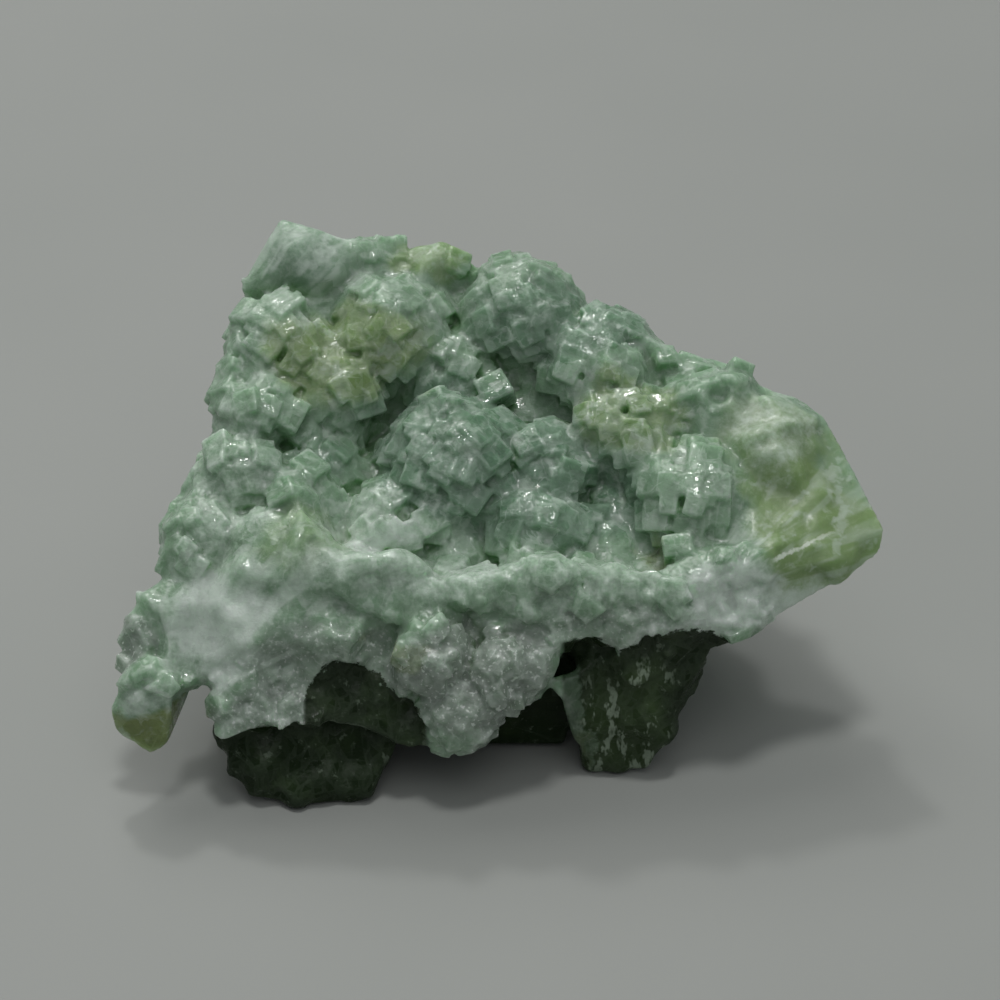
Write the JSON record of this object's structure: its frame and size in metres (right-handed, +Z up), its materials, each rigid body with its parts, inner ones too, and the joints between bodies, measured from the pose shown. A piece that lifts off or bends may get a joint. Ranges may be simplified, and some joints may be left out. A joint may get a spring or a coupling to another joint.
{
  "type": "prehnite crystal cluster",
  "caption": "Hand-sized piece of mint-green prehnite: a broken lump with a hollow lined by blocky crystals, standing on its broken underside.",
  "frame": {"origin": "middle of the lump's footprint box, on the surface it stands on", "axes": "+Z up, +X to the right and +Y away from a viewer who faces the low front rim of the crystal hollow"},
  "size_m": [0.0582, 0.0404, 0.0322],
  "materials": {
    "prehnite": "cloudy translucent mint-green mineral, glossy on crystal faces and frosty on broken ones"
  },
  "bodies": {
    "root": {"prehnite_cluster": "prehnite"}
  },
  "joints": []
}
